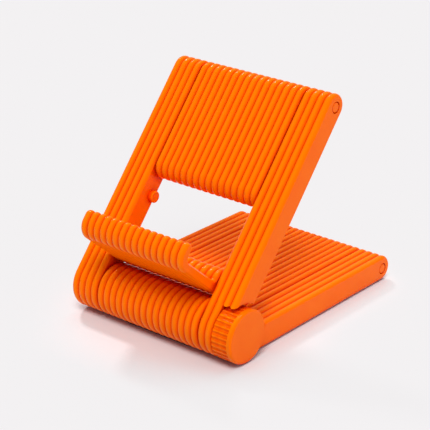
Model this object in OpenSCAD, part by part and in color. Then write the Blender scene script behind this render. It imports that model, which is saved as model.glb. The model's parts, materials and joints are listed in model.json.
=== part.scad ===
// Foldable phone stand: a ribbed base, a ribbed back frame that leans on a clamped hinge,
// a ledge that folds into the frame, and two panels that swing out to lengthen base and back.
// X runs along the hinge, Y runs to the rear, Z is up. The origin is under the hinge, on the table.

/* [Ribs] */
// Ribs across each middle piece
panel_ribs = 16; // [12:1:20]
// Width of one middle rib
panel_rib_pitch = 3.11; // [2.4:0.01:3.8]
// Ribs across each arm and rail
side_ribs = 4; // [4:2:6]
// Width of one arm or rail rib
side_rib_pitch = 3.18; // [2.6:0.01:4]
// Depth of the grooves between ribs
rib_depth = 0.75; // [0.4:0.05:0.9]
// Depth that the outer flank of an outermost rib falls
edge_drop = 0.95; // [0.8:0.05:1.3]

/* [Plates] */
// Thickness of base and back, over the ribs
plate_t = 10.4; // [9:0.1:13]
// Gap between back and base when folded flat
fold_gap = 0.3; // [0.2:0.05:1]
// Gap between the arms and what lies between them
side_gap = 0.4; // [0.3:0.05:0.8]
// Gap between the rails and the base panel
rail_gap = 0.25; // [0.15:0.05:0.5]
// Gap between the end of a swinging panel and what it meets
end_gap = 0.5; // [0.3:0.05:1.5]

/* [Back frame] */
// Hinge axis to top pin, along the arm
arm_reach = 92; // [80:0.1:120]
// Lean of the back above the table, in degrees
lean = 50.4; // [35:0.1:70]

/* [Base] */
// Hinge axis to rear pin
base_reach = 94.5; // [80:0.1:120]
// Free way between the swinging base panel and the leaning back
swing_clear = 2.5; // [1:0.05:5]
// Least depth of the cross member behind the hinge
cross_min = 17; // [15:0.5:25]

/* [Ledge] */
// Hinge axis to ledge pivot, along the arm
ledge_pivot = 15; // [14.8:0.1:25]
// Ledge pivot to the front face of the lip
ledge_reach = 30.5; // [24:0.1:34]
// Wall of the ledge, over the ribs
ledge_wall = 4; // [3:0.1:4.5]
// Inner radius where the plate of the ledge turns into its lip
ledge_fillet = 2; // [1.2:0.1:2.5]
// Depth of the grooves on the ledge
ledge_rib_depth = 0.75; // [0.3:0.05:0.8]
// Diameter of the steel ledge pin
ledge_pin_d = 3; // [2.5:0.1:4]
// Depth of the blind holes for the ledge pin in the arms
ledge_pin_grip = 6; // [4:0.5:6]
// Diameter of the stop nub on each arm
nub_d = 4.8; // [3:0.1:5]
// Height of the stop nub
nub_h = 2; // [1:0.1:3]

/* [Pins] */
// Diameter of the top and rear pins
pin_d = 4.7; // [3:0.1:6]
// Radial running clearance of pins and hinge bolt
running_gap = 0.06; // [0.03:0.01:0.1]
// Chamfer on pin ends
pin_chamfer = 0.25; // [0.1:0.05:0.5]
// Width of the groove round a pin's end
pin_groove = 0.3; // [0.1:0.05:0.5]
// Depth of that groove
pin_groove_depth = 0.9; // [0.5:0.1:1.5]

/* [Hinge and knob] */
// Diameter of the hinge bolt
bolt_d = 5; // [4:0.5:6]
// Bolt head size across its flats
head_af = 8; // [7:0.5:10]
// Thickness of the bolt head
head_t = 3.5; // [2.5:0.1:4]
// Diameter of the friction washers
friction_d = 16; // [12:0.5:17]
// Thickness of the friction washers
friction_t = 1.2; // [0.8:0.1:2]
// Diameter of the flat washer under the knob
washer_d = 11; // [9:0.5:12]
// Thickness of the flat washer
washer_t = 1; // [0.8:0.1:1.5]
// Diameter of the knob over its flutes
knob_d = 21.2; // [19:0.1:21.4]
// Free way between the knob and the arm's notch
knob_clear = 1.7; // [0.8:0.05:2]
// Free way between the knob and the front end of its rail
rail_clear = 4; // [1:0.1:5]
// Free way between the arm's round end and the front end of a rail
disc_clear = 0.8; // [0.5:0.05:2]
// How far the knob stands out of the side
knob_proud = 3.1; // [1:0.1:6]
// Number of grooves round the knob
knob_flutes = 32; // [20:2:40]
// Diameter of the brass insert
insert_d = 8; // [7:0.1:10]

/* [Feet] */
// How far the rubber feet stand out below
foot_proud = 0.4; // [0.2:0.05:1]
// Thickness of the rubber feet
foot_t = 1.6; // [1.2:0.1:2.5]
// Length of the front foot strip
strip_l = 36; // [24:1:44]
// Width of the front foot strip
strip_w = 6; // [4:0.5:7]
// Diameter of the rear feet
foot_d = 8; // [6:0.5:9]
// Rear pin to the middle of the rear feet
foot_inset = 7; // [5:0.5:20]

/* [Hidden] */
$fn = 64;

orange = "#ff7a12";
steel = "#b9bdc2";
brass = "#c8a45a";
rubber = "#2b2b2d";
nylon = "#e9e6de";

half_t = plate_t / 2;
mid_half = panel_ribs * panel_rib_pitch / 2;      // half the width of barrel, back panel and ledge
arm_in = mid_half + side_gap;                     // inner face of arms and rails
arm_w = side_ribs * side_rib_pitch;
side_out = arm_in + arm_w;                        // flat outer side
side_mid = arm_in + arm_w / 2;
base_panel_pitch = floor((arm_in - rail_gap) * 200 / panel_ribs) / 100;

hinge_r = plate_t + fold_gap / 2;                 // crest radius of barrel and arm ends
hinge_z = hinge_r + foot_proud;
base_mid_z = foot_proud + half_t;
arm_mid_n = fold_gap / 2 + half_t;                // mid plane of the arms, off the hinge axis
notch_r = knob_d / 2 + knob_clear;                // round notch in the right arm
rail_notch_r = knob_d / 2 + rail_clear;           // and in the rail behind the knob
disc_clear_r = hinge_r + disc_clear;
pin_r = pin_d / 2;
bolt_r = bolt_d / 2;

// What the base panel can be long and still swing up past the leaning back
swing_room = base_reach * sin(lean) + (hinge_z - base_mid_z) * cos(lean) + fold_gap / 2;
base_panel_reach = floor(min(swing_room - swing_clear, base_reach - cross_min - end_gap) * 100) / 100;
slot_front = base_reach - base_panel_reach - end_gap;
rail_front = hinge_r * 0.78;
bridge_front = disc_clear_r + 0.3;

// Ledge, drawn folded: plate along the arm, lip to the rear
lip_r = ledge_wall / 2;
corner_r = ledge_fillet + ledge_wall;
corner_y = ledge_reach - corner_r;
corner_z = half_t - corner_r;
lip_y = ledge_reach - lip_r;
lip_tip_z = -(half_t - 0.2 - lip_r);
fillet_r = half_t - ledge_wall;                   // hollow corner at the knuckle
fillet_y = half_t + fillet_r;
ledge_core = half_t - ledge_rib_depth - 0.2;      // solid core that lies under the grooves
ledge_tip_r = norm([lip_y, lip_tip_z]) + lip_r;
back_panel_reach = floor((arm_reach - ledge_pivot - ledge_tip_r - end_gap) * 100) / 100;
nub_gap = 0.3;
nub_n = arm_mid_n - half_t + nub_d / 2 + 0.35;
nub_s = ledge_pivot + sqrt(pow(lip_y - lip_r - nub_d / 2 - nub_gap, 2) - pow(arm_mid_n - nub_n, 2));

// Along the hinge axis
notch_x = arm_in + side_ribs / 2 * side_rib_pitch;
washer_seat = washer_t * 0.7;
knob_in = notch_x + washer_t - washer_seat + 0.05;
knob_out = side_out + knob_proud;
knob_wall = 1.7;
insert_in = knob_in + 1.6;
insert_out = knob_out - knob_wall - 0.3;
bolt_end = insert_out - 0.6;
friction_seat = friction_t - side_gap + 0.1;
cover_t = 1.5;
cover_d = head_af + 5.5;
head_in = -(side_out - cover_t - 0.6 - head_t);
spring_h = 1;
spring_t = 0.4;

// Radius of an arc of the given width and height
function arc_r(w, h) = (w * w / 4 + h * h) / (2 * h);

// Section of a plate's upper side, from height low to its crest, with ribs side by side
module rib_side(n, pitch, depth, crest, low, drop) {
    r = arc_r(pitch, depth);
    edge_r = arc_r(pitch, drop);
    last = (n - 1) * pitch / 2;
    half_w = n * pitch / 2;
    translate([-half_w, low]) square([2 * half_w, crest - drop - low]);
    translate([-last, low]) square([2 * last, crest - depth - low]);
    intersection() {
        for (i = [0:n - 1]) translate([i * pitch - last, crest - r]) circle(r);
        translate([-last, low]) square([2 * last, crest - low + 1]);
    }
    for (side = [-1, 1]) intersection() {
        translate([side * last, crest - edge_r]) circle(edge_r);
        translate([side > 0 ? last : -half_w, low]) square([pitch / 2, crest - low + 1]);
    }
}

// The same section on both sides of the mid line
module rib_both(n, pitch, depth, t, drop) {
    rib_side(n, pitch, depth, t / 2, 0, drop);
    mirror([0, 1]) rib_side(n, pitch, depth, t / 2, 0, drop);
}

// Pulls a section along Y
module along_y(y0, y1) {
    translate([0, y1, 0]) rotate([90, 0, 0]) linear_extrude(y1 - y0) children();
}

// Turns a section about the X axis, from angle a0 to a1, measured from +Y towards +Z
module about_x(a0, a1) {
    rotate([90, 0, 90]) rotate_extrude(angle = a1 - a0, start = a0) rotate(-90) children();
}

// Round bar or bore along X
module x_rod(r, x0, x1) {
    translate([x0, 0, 0]) rotate([0, 90, 0]) cylinder(r = r, h = x1 - x0);
}

// Pin along X with chamfered ends
module x_pin(r, x0, x1, c) {
    x_rod(r, x0 + c, x1 - c);
    translate([x0, 0, 0]) rotate([0, 90, 0]) cylinder(r1 = r - c, r2 = r, h = c);
    translate([x1 - c, 0, 0]) rotate([0, 90, 0]) cylinder(r1 = r, r2 = r - c, h = c);
}

// Cross pin, flush with both sides, with a stepped end that leaves a groove round it
module cross_pin() {
    x_rod(pin_r, -side_out + pin_groove_depth, side_out - pin_groove_depth);
    x_pin(pin_r - pin_groove, -side_out + 0.05, side_out - 0.05, pin_chamfer);
}

module on_hinge() translate([0, 0, hinge_z]) children();
module on_back() on_hinge() rotate([lean, 0, 0]) children();
module at_rear_pin() translate([0, base_reach, base_mid_z]) children();
module at_top_pin() on_back() translate([0, arm_reach, arm_mid_n]) children();
module at_ledge() on_back() translate([0, ledge_pivot, arm_mid_n]) children();

module side_section() rib_both(side_ribs, side_rib_pitch, rib_depth, plate_t, edge_drop);
module side_half(crest) rib_side(side_ribs, side_rib_pitch, rib_depth, crest, 0, edge_drop);
module mid_section(pitch) rib_both(panel_ribs, pitch, rib_depth, plate_t, edge_drop);
module mid_half_section(crest, pitch) rib_side(panel_ribs, pitch, rib_depth, crest, 0, edge_drop);

// Base: barrel, cross member and two rails in one moulding
module base_frame() color(orange) difference() {
    union() {
        on_hinge() about_x(-50, 270) mid_half_section(hinge_r, panel_rib_pitch);
        translate([0, 0, base_mid_z]) {
            along_y(0, slot_front) mid_section(panel_rib_pitch);
            for (side = [-1, 1]) translate([side * side_mid, 0, 0]) {
                along_y(rail_front, base_reach) side_section();
                translate([0, base_reach, 0]) about_x(-90, 90) side_half(half_t);
            }
            translate([-arm_in - 1, bridge_front, -half_t + 1.2])
                cube([2 * (arm_in + 1), slot_front - bridge_front, plate_t - 2.4]);
        }
    }
    on_hinge() {
        x_rod(bolt_r + running_gap, -mid_half - 1, mid_half + 1);
        for (side = [-1, 1]) translate([side * (mid_half + side_gap / 2), 0, 0])
            rotate([0, side * 90, 0]) cylinder(r = disc_clear_r, h = arm_w + side_gap);
        x_rod(rail_notch_r, notch_x, side_out + 1);
    }
    at_rear_pin() rail_pin_holes();
    foot_pockets();
}

// Pin holes through both rails or arms
module rail_pin_holes() x_rod(pin_r, -side_out - 1, side_out + 1);

module foot_pockets() {
    front_strip(0.05, foot_t + 1, -1);
    for (side = [-1, 1]) translate([side * side_mid, base_reach - foot_inset, -1])
        cylinder(d = foot_d + 0.1, h = foot_t + 1);
}

module front_strip(gap, h, z0) {
    translate([0, 0, z0]) linear_extrude(h) {
        square([strip_l - strip_w, strip_w + 2 * gap], center = true);
        for (side = [-1, 1]) translate([side * (strip_l - strip_w) / 2, 0]) circle(d = strip_w + 2 * gap);
    }
}

module front_foot() color(rubber) front_strip(0, foot_t, 0);

module rear_feet() color(rubber)
    for (side = [-1, 1]) translate([side * side_mid, base_reach - foot_inset, 0]) cylinder(d = foot_d, h = foot_t);

// A ribbed panel that hangs on a pin, with both ends round
module swing_panel(reach, pitch) {
    difference() {
        union() {
            along_y(-(reach - half_t), 0) mid_section(pitch);
            about_x(-90, 90) mid_half_section(half_t, pitch);
            translate([0, -(reach - half_t), 0]) about_x(90, 270) mid_half_section(half_t, pitch);
        }
        x_rod(pin_r + running_gap, -mid_half - 2, mid_half + 2);
    }
}

module base_panel() color(orange) at_rear_pin() swing_panel(base_panel_reach, base_panel_pitch);
module back_panel() color(orange) at_top_pin() swing_panel(back_panel_reach, panel_rib_pitch);
module rear_pin() color(orange) at_rear_pin() cross_pin();
module top_pin() color(orange) at_top_pin() cross_pin();

// One arm of the back frame, side -1 for the left and 1 for the right
module arm_body(side) {
    translate([side * side_mid, 0, 0]) {
        about_x(90, 410) side_half(hinge_r);
        translate([0, 0, arm_mid_n]) along_y(0, arm_reach) side_section();
        translate([0, arm_reach, arm_mid_n]) about_x(-90, 90) side_half(half_t);
    }
    translate([side * arm_in, nub_s, nub_n]) rotate([0, -side * 90, 0]) nub();
}

// Stop nub with a rounded rim
module nub() {
    rim = 0.4;
    translate([0, 0, -1]) cylinder(d = nub_d, h = nub_h + 1 - rim);
    cylinder(d = nub_d - 2 * rim, h = nub_h);
    translate([0, 0, nub_h - rim]) rotate_extrude() translate([nub_d / 2 - rim, 0]) intersection() {
        circle(rim);
        square(rim);
    }
}

// What both arms have cut into them
module arm_cuts(side) {
    x_rod(bolt_r, -side_out - 1, side_out + 1);
    translate([0, arm_reach, arm_mid_n]) rail_pin_holes();
    translate([0, ledge_pivot, arm_mid_n])
        x_rod(ledge_pin_d / 2, -arm_in - ledge_pin_grip, arm_in + ledge_pin_grip);
    x_rod(friction_d / 2 + 0.05, side > 0 ? arm_in - 1 : -arm_in - friction_seat,
          side > 0 ? arm_in + friction_seat : -arm_in + 1);
}

module left_arm() color(orange) on_back() difference() {
    arm_body(-1);
    arm_cuts(-1);
    hex_rod(head_af + 0.1, -side_out - 1, head_in);
    x_rod(cover_d / 2 + 0.03, -side_out - 1, -side_out + cover_t);
}

module right_arm() color(orange) on_back() difference() {
    arm_body(1);
    arm_cuts(1);
    x_rod(notch_r, notch_x, side_out + 1);
    x_rod(washer_d / 2 + 0.1, notch_x - washer_seat, notch_x + 1);
}

module hex_rod(af, x0, x1) {
    translate([x0, 0, 0]) rotate([0, 90, 0]) cylinder(d = af / cos(30), h = x1 - x0, $fn = 6);
}

module hinge_bolt() color(steel) on_back() {
    hex_rod(head_af, head_in - head_t, head_in);
    x_rod(bolt_r, head_in - 1, bolt_end - 0.5);
    translate([bolt_end - 0.5, 0, 0]) rotate([0, 90, 0]) cylinder(r1 = bolt_r, r2 = bolt_r - 0.5, h = 0.5);
}

// Disc that hides the bolt head, flush with the left side
module bolt_cover() color(orange) on_back() {
    x_rod(cover_d / 2 - 0.4, -side_out + 0.05, -side_out + 1);
    x_rod(cover_d / 2, -side_out + 0.45, -side_out + cover_t);
    translate([-side_out + 0.05, 0, 0]) rotate([0, 90, 0])
        cylinder(r1 = cover_d / 2 - 0.4, r2 = cover_d / 2, h = 0.4);
}

// Washer along X
module x_ring(r_out, r_in, x0, x1) {
    difference() {
        x_rod(r_out, x0, x1);
        x_rod(r_in, x0 - 1, x1 + 1);
    }
}

module friction_washer(side) {
    x_in = arm_in + friction_seat - friction_t;
    x_ring(friction_d / 2, bolt_r + 0.2, side > 0 ? x_in : -x_in - friction_t,
           side > 0 ? x_in + friction_t : -x_in);
}

module friction_washer_left() color(nylon) on_back() friction_washer(-1);
module friction_washer_right() color(nylon) on_back() friction_washer(1);
module flat_washer() color(steel) on_back()
    x_ring(washer_d / 2, bolt_r + 0.2, notch_x - washer_seat, notch_x - washer_seat + washer_t);

// Coned spring washer between the flat washer and the knob
module disc_spring() color(steel) on_back() translate([notch_x - washer_seat + washer_t, 0, 0])
    rotate([0, 90, 0]) rotate_extrude()
        polygon([[washer_d / 2 - 0.5, 0.02], [washer_d / 2 - 0.5, 0.02 + spring_t],
                 [bolt_r + 0.4, spring_h], [bolt_r + 0.4, spring_h - spring_t]]);

// Fluted knob that clamps the hinge
module clamp_knob() color(orange) on_back() difference() {
    union() {
        x_rod(knob_d / 2, knob_in + 0.3, knob_out - 0.6);
        translate([knob_in, 0, 0]) rotate([0, 90, 0]) cylinder(r1 = knob_d / 2 - 0.3, r2 = knob_d / 2, h = 0.3);
        translate([knob_out - 0.6, 0, 0]) rotate([0, 90, 0])
            cylinder(r1 = knob_d / 2, r2 = knob_d / 2 - 0.6, h = 0.6);
    }
    for (i = [0:knob_flutes - 1]) rotate([i * 360 / knob_flutes, 0, 0]) translate([0, 0, knob_d / 2 + 0.25])
        x_rod(0.75, knob_in - 1, knob_out - 1.9);
    x_rod(insert_d / 2, insert_in, insert_out);
    x_rod(bolt_r + running_gap, knob_in - 1, insert_out);
    x_rod(washer_d / 2, knob_in - 1, knob_in + spring_h);
}

module knob_insert() color(brass) on_back() difference() {
    x_rod(insert_d / 2, insert_in, insert_out);
    x_rod(bolt_r + running_gap, insert_in - 1, insert_out + 1);
    x_ring(insert_d, insert_d / 2 - 0.5, (insert_in + insert_out) / 2 - 0.6, (insert_in + insert_out) / 2 + 0.6);
}

// Section of the ledge wall, ribs on both faces
module ledge_wall_section() rib_both(panel_ribs, panel_rib_pitch, ledge_rib_depth, ledge_wall, ledge_rib_depth);

// Section of one ribbed face of the ledge, from a lower height to its crest
module ledge_face(crest, low) rib_side(panel_ribs, panel_rib_pitch, ledge_rib_depth, crest, low, ledge_rib_depth);

// The ledge as it lies folded in the window of the back
module folded_ledge() {
    about_x(90, 360) ledge_face(half_t, 0);
    along_y(0, fillet_y) ledge_face(half_t, half_t - ledge_wall * 0.75);
    translate([0, 0, half_t - lip_r]) along_y(fillet_y, corner_y) ledge_wall_section();
    translate([0, corner_y, corner_z]) about_x(0, 90) translate([0, corner_r - lip_r]) ledge_wall_section();
    translate([0, lip_y, 0]) rotate([90, 0, 0]) along_y(lip_tip_z, corner_z) ledge_wall_section();
    translate([0, lip_y, lip_tip_z]) about_x(180, 360) ledge_face(lip_r, 0);
    translate([0, fillet_y, 0]) about_x(90, 180) ledge_hollow();
    translate([-mid_half, -1, -1]) cube([2 * mid_half, 1 + ledge_core, 1 + half_t - ledge_wall * 0.6]);
}

// Section round the hollow corner at the knuckle: ribs face the corner's centre
module ledge_hollow() {
    translate([0, ledge_core + fillet_r]) mirror([0, 1]) ledge_face(ledge_core, fillet_r);
}

module phone_ledge() color(orange) at_ledge() rotate([90, 0, 0]) difference() {
    folded_ledge();
    x_rod(ledge_pin_d / 2 + running_gap, -mid_half - 1, mid_half + 1);
}

module ledge_pin() color(steel) at_ledge()
    x_pin(ledge_pin_d / 2, -arm_in - ledge_pin_grip + 0.1, arm_in + ledge_pin_grip - 0.1, pin_chamfer);

base_frame();
base_panel();
rear_pin();
left_arm();
right_arm();
back_panel();
top_pin();
phone_ledge();
ledge_pin();
hinge_bolt();
bolt_cover();
friction_washer_left();
friction_washer_right();
flat_washer();
disc_spring();
clamp_knob();
knob_insert();
front_foot();
rear_feet();
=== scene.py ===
# %% [markdown]
# # A folding phone stand in orange plastic
#
# The stand's parts were drawn in CAD and packed as one model. This notebook loads them as they
# are and gives them what CAD doesn't have: finishes, a floor, lights and a camera. Every length
# is in metres. X runs along the hinge, Y runs to the rear and Z is up.

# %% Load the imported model
import json
import math

import bmesh
import bpy
from mathutils import Matrix, Vector

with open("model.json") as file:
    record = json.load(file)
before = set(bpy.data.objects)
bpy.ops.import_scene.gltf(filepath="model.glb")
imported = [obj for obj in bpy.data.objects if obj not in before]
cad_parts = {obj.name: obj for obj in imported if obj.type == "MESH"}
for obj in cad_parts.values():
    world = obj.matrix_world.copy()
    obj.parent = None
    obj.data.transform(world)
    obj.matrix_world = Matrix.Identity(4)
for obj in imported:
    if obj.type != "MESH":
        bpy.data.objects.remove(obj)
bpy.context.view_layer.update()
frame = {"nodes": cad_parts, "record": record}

MM = 0.001
print("pieces:", ", ".join(sorted(frame["nodes"])))

# %% [markdown]
# ## The camera
#
# The picture was taken with a long lens from the front right, a little above the stand. A camera
# looks along its own -Z axis, so its turn is a matrix with three columns: right, up and
# backwards. Those come from an azimuth round the stand, an elevation above the floor and a
# slight roll. A long lens far away keeps the ribs almost parallel, as they are in the picture.
# The lamps further down are placed by azimuth and elevation too, so one function serves both.

# %% A direction from two angles
def towards(azimuth_deg, elevation_deg):
    """The direction to a place at this azimuth, round from the front to the right, and elevation."""
    azimuth, elevation = math.radians(azimuth_deg), math.radians(elevation_deg)
    return Vector((
        math.sin(azimuth) * math.cos(elevation),
        -math.cos(azimuth) * math.cos(elevation),
        math.sin(elevation),
    ))


print("from the right:", [round(c, 3) for c in towards(90, 0)])

# %% Camera
AZIMUTH_DEG, ELEVATION_DEG, ROLL_DEG = 38.53, 22.35, 1.09
IMAGE_SIZE = 430
FOCAL_PIXELS = 1566.2
SENSOR_MM = 36
DISTANCE = 630.0 * MM
AIM = Vector((0, 40, 0.4)) * MM
AIM_RIGHT, AIM_UP = -5.11 * MM, 32.88 * MM

backwards = towards(AZIMUTH_DEG, ELEVATION_DEG)
level_right = towards(AZIMUTH_DEG + 90, 0)
level_up = backwards.cross(level_right)
roll = math.radians(ROLL_DEG)
right = math.cos(roll) * level_right + math.sin(roll) * level_up
up = math.cos(roll) * level_up - math.sin(roll) * level_right

camera_data = bpy.data.cameras.new("camera")
camera_data.sensor_fit = "HORIZONTAL"
camera_data.sensor_width = SENSOR_MM
camera_data.lens = FOCAL_PIXELS / IMAGE_SIZE * SENSOR_MM
camera_data.clip_start = 10 * MM
camera = bpy.data.objects.new("camera", camera_data)
bpy.context.scene.collection.objects.link(camera)
place = AIM + AIM_RIGHT * right + AIM_UP * up + DISTANCE * backwards
turn = Matrix((right, up, backwards)).transposed().to_4x4()
camera.matrix_world = Matrix.Translation(place) @ turn
bpy.context.scene.camera = camera
print("lens:", round(camera_data.lens, 1), "mm, camera at", [round(c, 3) for c in place])

# %% [markdown]
# ## Helpers for materials
#
# A colour is easiest to write as the hex value that a paint program shows. Shaders work in
# linear light, so one function turns the first into the second. Another adds a node, sets it and
# links it in a single call, which keeps each material short enough to read. The small ones below
# it each stand for a node or two that the materials use again and again.

# %% Colour and node helpers
def linear(hex_colour):
    """An sRGB hex colour such as "ff7a12" as linear red, green, blue and alpha."""
    values = [int(hex_colour[i:i + 2], 16) / 255 for i in (0, 2, 4)]
    return [v / 12.92 if v <= 0.04045 else ((v + 0.055) / 1.055) ** 2.4 for v in values] + [1]


def add_node(tree, kind, inputs=None, **settings):
    """A new node: an input that is a socket is linked, and any other is set."""
    node = tree.nodes.new(kind)
    for name, value in settings.items():
        setattr(node, name, value)
    for name, value in (inputs or {}).items():
        if isinstance(value, bpy.types.NodeSocket):
            tree.links.new(value, node.inputs[name])
        else:
            node.inputs[name].default_value = value
    return node


def new_material(name):
    """An empty node material with its output, and the Object coordinates of what it is on."""
    material = bpy.data.materials.new(name)
    material.use_nodes = True
    tree = material.node_tree
    tree.nodes.clear()
    coordinates = add_node(tree, "ShaderNodeTexCoord").outputs["Object"]
    return material, tree, coordinates


def finish_material(tree, shader):
    add_node(tree, "ShaderNodeOutputMaterial", {"Surface": shader.outputs["BSDF"]})


def noise(tree, coordinates, size_mm, detail=2.0, roughness=0.5):
    """Noise whose lumps are about size_mm across."""
    return add_node(tree, "ShaderNodeTexNoise", {
        "Vector": coordinates, "Scale": 1 / (size_mm * MM), "Detail": detail, "Roughness": roughness,
    }).outputs["Fac"]


def spread(tree, value, low, high):
    """A value of about 0.3 to 0.7, as noise gives, spread over low to high."""
    return add_node(tree, "ShaderNodeMapRange", {
        "Value": value, "From Min": 0.3, "From Max": 0.7, "To Min": low, "To Max": high,
    }).outputs["Result"]


def mix_colours(tree, factor, first, second):
    return add_node(tree, "ShaderNodeMix", {0: factor, 6: first, 7: second}, data_type="RGBA").outputs[2]


def calculate(tree, operation, first, second=0.0):
    """The result of one sum on two values, such as "MULTIPLY" or "ABSOLUTE"."""
    return add_node(tree, "ShaderNodeMath", {0: first, 1: second}, operation=operation).outputs[0]


def x_part(tree, vector):
    return add_node(tree, "ShaderNodeSeparateXYZ", {"Vector": vector}).outputs["X"]


def openness(tree, distance_mm, samples):
    """1 on an open face, falling towards 0 where something stands within distance_mm."""
    return add_node(tree, "ShaderNodeAmbientOcclusion", {
        "Distance": distance_mm * MM,
    }, samples=samples).outputs["AO"]


print("mid grey in linear light:", round(linear("808080")[0], 3))

# %% [markdown]
# ## Moulded ABS
#
# The stand is injection moulded in ABS, coloured right through. The mould has a fine spark-eroded
# texture, so the surface is satin: a lamp shows as a soft streak and never as a mirror image. The
# real grain is about a tenth of a millimetre across. It is drawn at a third of a millimetre,
# because a finer one wouldn't show. Wide, faint clouds keep the colour and gloss from being dead
# even, as melt flow does on real mouldings.
#
# A deeper, redder orange is painted into the grooves and gaps as painted shade, and a more yellow orange
# is painted along the crests as a painted highlight. Two masks draw that. Ambient occlusion finds the
# grooves and gaps, whatever their shape. A cosine over X, with the ribs' own pitch, finds the crests. X
# is right for this at every pose, because all ribs lie square to X and every joint turns about X.

# %% A mask for the painted highlight on the crests of the ribs
MIDDLE_PITCH_MM = 3.11   # ribs of the panels, barrel and ledge, even about X = 0
SIDE_PITCH_MM = 3.18     # ribs of the arms and rails
SIDE_MIDDLE_MM = 31.64   # X of the middle groove of an arm or rail
MIDDLE_HALF_MM = 25      # where the middle ends and the sides begin
FLAT_FROM = 0.97         # a face that looks this much along X is a flat side


def crest_highlight_mask(tree, coordinates):
    """1 along the top of every rib, falling to 0 in the grooves and on the flat sides: the mask of the
    painted highlight.
    """
    beside = calculate(tree, "ABSOLUTE", x_part(tree, coordinates))
    middle_turn = calculate(tree, "MULTIPLY", beside, math.tau / (MIDDLE_PITCH_MM * MM))
    from_side_middle = calculate(tree, "SUBTRACT", beside, SIDE_MIDDLE_MM * MM)
    side_turn = calculate(tree, "MULTIPLY", from_side_middle, math.tau / (SIDE_PITCH_MM * MM))
    on_side = calculate(tree, "GREATER_THAN", beside, MIDDLE_HALF_MM * MM)
    turn = add_node(tree, "ShaderNodeMix", {0: on_side, 2: middle_turn, 3: side_turn}).outputs[0]
    crest_highlight = add_node(tree, "ShaderNodeMapRange", {
        "Value": calculate(tree, "COSINE", turn), "From Min": 1.0, "From Max": -1.0,
    }).outputs["Result"]
    normal = add_node(tree, "ShaderNodeNewGeometry").outputs["Normal"]
    ribbed = calculate(tree, "LESS_THAN", calculate(tree, "ABSOLUTE", x_part(tree, normal)), FLAT_FROM)
    return calculate(tree, "MULTIPLY", crest_highlight, ribbed)


print("crest mask:", MIDDLE_PITCH_MM, "mm in the middle and", SIDE_PITCH_MM, "mm at the sides")

# %% Orange ABS
ABS_GRAIN_MM = 0.35
ABS_CLOUD_MM = 9.0
SHADE_REACH_MM = 3.0


def moulded_abs(name, groove_shade, deep, light, crest_highlight, rough):
    material, tree, coordinates = new_material(name)
    clouds = noise(tree, coordinates, ABS_CLOUD_MM, detail=3)
    grain = noise(tree, coordinates, ABS_GRAIN_MM, detail=2, roughness=0.6)
    # Painted shade: the colour turns to the deeper, redder groove colour wherever ambient occlusion finds
    # something close.
    out_of_painted_shade = add_node(tree, "ShaderNodeMapRange", {
        "Value": openness(tree, SHADE_REACH_MM, samples=8), "From Min": 0.5, "From Max": 1.0,
    }).outputs["Result"]
    skin = mix_colours(tree, spread(tree, clouds, 0, 1), linear(deep), linear(light))
    # Painted highlight: a yellower orange is painted along the crests of the ribs.
    skin = mix_colours(tree, crest_highlight_mask(tree, coordinates), skin, linear(crest_highlight))
    colour = mix_colours(tree, out_of_painted_shade, linear(groove_shade), skin)
    bump = add_node(tree, "ShaderNodeBump", {"Height": grain, "Strength": 0.2, "Distance": 0.02 * MM})
    shader = add_node(tree, "ShaderNodeBsdfPrincipled", {
        "Base Color": colour, "Roughness": spread(tree, clouds, rough - 0.03, rough + 0.03),
        "Normal": bump.outputs["Normal"], "IOR": 1.53,
        "Specular IOR Level": 0.09, "Specular Tint": linear("ffd2a0"),
    })
    finish_material(tree, shader)
    return material


# The first colour here is painted shade for the grooves and gaps, and the last is a painted highlight for
# the crests.
orange_abs = moulded_abs(
    "moulded_abs_orange", groove_shade="e63400", deep="fe6800", light="ff6e00", crest_highlight="ff7b00", rough=0.23,
)
print("ABS grain:", ABS_GRAIN_MM, "mm")

# %% [markdown]
# ## Steel, brass, nylon and rubber
#
# The bolt, pin and washers are zinc-plated steel: a pale metal with soft, cloudy gloss. The
# threaded insert in the knob is turned brass, so its gloss runs in fine rings round its axis,
# which is X. The friction washers are natural nylon, and the feet are matt moulded rubber.

# %% Finishes of the small parts
def plated_metal(name, colour, rough, cloud_mm):
    material, tree, coordinates = new_material(name)
    clouds = noise(tree, coordinates, cloud_mm, detail=4)
    shader = add_node(tree, "ShaderNodeBsdfPrincipled", {
        "Base Color": linear(colour), "Metallic": 1.0,
        "Roughness": spread(tree, clouds, rough - 0.06, rough + 0.08),
    })
    finish_material(tree, shader)
    return material


def turned_metal(name, colour, rough, ring_mm):
    material, tree, coordinates = new_material(name)
    along_axis = add_node(tree, "ShaderNodeMapping", {
        "Vector": coordinates, "Scale": (1, 0, 0),
    }).outputs["Vector"]
    rings = noise(tree, along_axis, ring_mm, detail=1)
    bump = add_node(tree, "ShaderNodeBump", {"Height": rings, "Strength": 0.3, "Distance": 0.01 * MM})
    shader = add_node(tree, "ShaderNodeBsdfPrincipled", {
        "Base Color": linear(colour), "Metallic": 1.0,
        "Roughness": spread(tree, rings, rough - 0.05, rough + 0.05),
        "Normal": bump.outputs["Normal"],
    })
    finish_material(tree, shader)
    return material


def soft_polymer(name, colour, rough, grain_mm, bump_mm, ior):
    material, tree, coordinates = new_material(name)
    grain = noise(tree, coordinates, grain_mm, detail=3)
    bump = add_node(tree, "ShaderNodeBump", {"Height": grain, "Strength": 0.4, "Distance": bump_mm * MM})
    shader = add_node(tree, "ShaderNodeBsdfPrincipled", {
        "Base Color": linear(colour), "Roughness": spread(tree, grain, rough - 0.05, rough + 0.05),
        "Normal": bump.outputs["Normal"], "IOR": ior,
    })
    finish_material(tree, shader)
    return material


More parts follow.
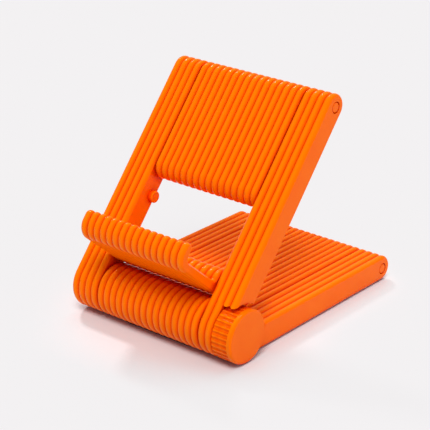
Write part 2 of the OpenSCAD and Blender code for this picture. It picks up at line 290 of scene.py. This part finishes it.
# %% Give every piece its finish
FINISHES = {
    "orange_plastic": orange_abs,
    "steel": plated_metal("zinc_plated_steel", "c4c6c8", rough=0.32, cloud_mm=2.5),
    "brass": turned_metal("turned_brass", "cfa860", rough=0.28, ring_mm=0.25),
    "nylon": soft_polymer("natural_nylon", "e4e0d2", rough=0.45, grain_mm=0.6, bump_mm=0.02, ior=1.53),
    "rubber": soft_polymer("moulded_rubber", "242426", rough=0.75, grain_mm=0.4, bump_mm=0.04, ior=1.52),
}
for part in frame["record"]["subparts"]:
    piece = frame["nodes"][part["node"]]
    for slot in piece.material_slots:
        slot.material = FINISHES[part["material_slot"]]
    print(part["node"], "->", FINISHES[part["material_slot"]].name, len(piece.data.polygons), "triangles")

# %% [markdown]
# ## The floor
#
# The stand sits on a seamless pale sheet. The camera looks down at it, so no horizon shows and a
# large flat square is enough. Close to the stand it is plain paper that takes the shadow. Further
# away it mostly glows by itself in the wanted white, as a lit sheet does in a studio. Ambient
# occlusion tells how close the stand is. The glow shows only to the camera, in reflections and
# through clear things, so it sends no more light onto the stand.

# %% Floor
FLOOR_HALF = 4.0
floor_mesh = bmesh.new()
bmesh.ops.create_grid(floor_mesh, x_segments=1, y_segments=1, size=FLOOR_HALF)
floor_data = bpy.data.meshes.new("floor")
floor_mesh.to_mesh(floor_data)
floor_mesh.free()
floor = bpy.data.objects.new("floor", floor_data)
bpy.context.scene.collection.objects.link(floor)
print("floor:", 2 * FLOOR_HALF, "m square")

# %% Floor material
NEAR_MM = 45.0
GLOW_SHARE = 0.92

floor_paper, tree, coordinates = new_material("pale_paper_floor")
paper = add_node(tree, "ShaderNodeBsdfPrincipled", {
    "Base Color": linear("dedcde"), "Roughness": 0.9, "Specular IOR Level": 0.1,
})
glow = add_node(tree, "ShaderNodeEmission", {"Color": linear("f2f0f1"), "Strength": 1.0})
path = add_node(tree, "ShaderNodeLightPath").outputs
seen = calculate(tree, "MAXIMUM", path["Is Camera Ray"], path["Is Glossy Ray"])
seen = calculate(tree, "MAXIMUM", seen, path["Is Transmission Ray"])
clear_of_stand = add_node(tree, "ShaderNodeMapRange", {
    "Value": openness(tree, NEAR_MM, samples=16),
    "From Min": 0.6, "From Max": 0.94, "To Max": GLOW_SHARE,
}).outputs["Result"]
floor_look = add_node(tree, "ShaderNodeMixShader", {
    0: calculate(tree, "MULTIPLY", clear_of_stand, seen),
    1: paper.outputs["BSDF"], 2: glow.outputs["Emission"],
})
add_node(tree, "ShaderNodeOutputMaterial", {"Surface": floor_look.outputs["Shader"]})
floor_data.materials.append(floor_paper)
print("floor glow:", GLOW_SHARE, "of the white, from about", NEAR_MM, "mm off the stand")

# %% [markdown]
# ## The light
#
# Light comes from all round, with more from above and from the front. An even white world does
# the first, and a wide sun the second. A wide sun gives shadows as soft as those of a big
# diffuser. Two more fill the right side and the rear. The strip light is narrow and stands behind
# the stand on the left: it puts the bright streaks on the round ends and lights the left flank of
# every rib of the base. Only this one shows in the plastic, as the others are far too large to
# leave a highlight of their own.

# %% World
WORLD_STRENGTH = 0.32
world = bpy.data.worlds.new("studio")
bpy.context.scene.world = world
world.use_nodes = True
background = world.node_tree.nodes["Background"].inputs
background["Color"].default_value = linear("ffffff")
background["Strength"].default_value = WORLD_STRENGTH
print("world strength:", WORLD_STRENGTH)

# %% Lamps
def add_sun(name, strength, wide_deg, from_azimuth, from_elevation, glints=False):
    """A soft sun from an azimuth, in degrees round from the front, and an elevation."""
    data = bpy.data.lights.new(name, "SUN")
    data.energy = strength
    data.angle = math.radians(wide_deg)
    lamp = bpy.data.objects.new(name, data)
    bpy.context.scene.collection.objects.link(lamp)
    lamp.rotation_euler = towards(from_azimuth, from_elevation).to_track_quat("Z", "Y").to_euler()
    lamp.visible_glossy = glints
    print(name, strength)


add_sun("key_diffuser", 2.1, 26, from_azimuth=32, from_elevation=60)
add_sun("rear_fill", 0.4, 40, from_azimuth=-155, from_elevation=48)
add_sun("strip_light", 1.35, 8, from_azimuth=-118, from_elevation=46, glints=True)
add_sun("right_fill", 0.48, 40, from_azimuth=100, from_elevation=25)

# %% Show colours as they are written
bpy.context.scene.view_settings.view_transform = "Standard"
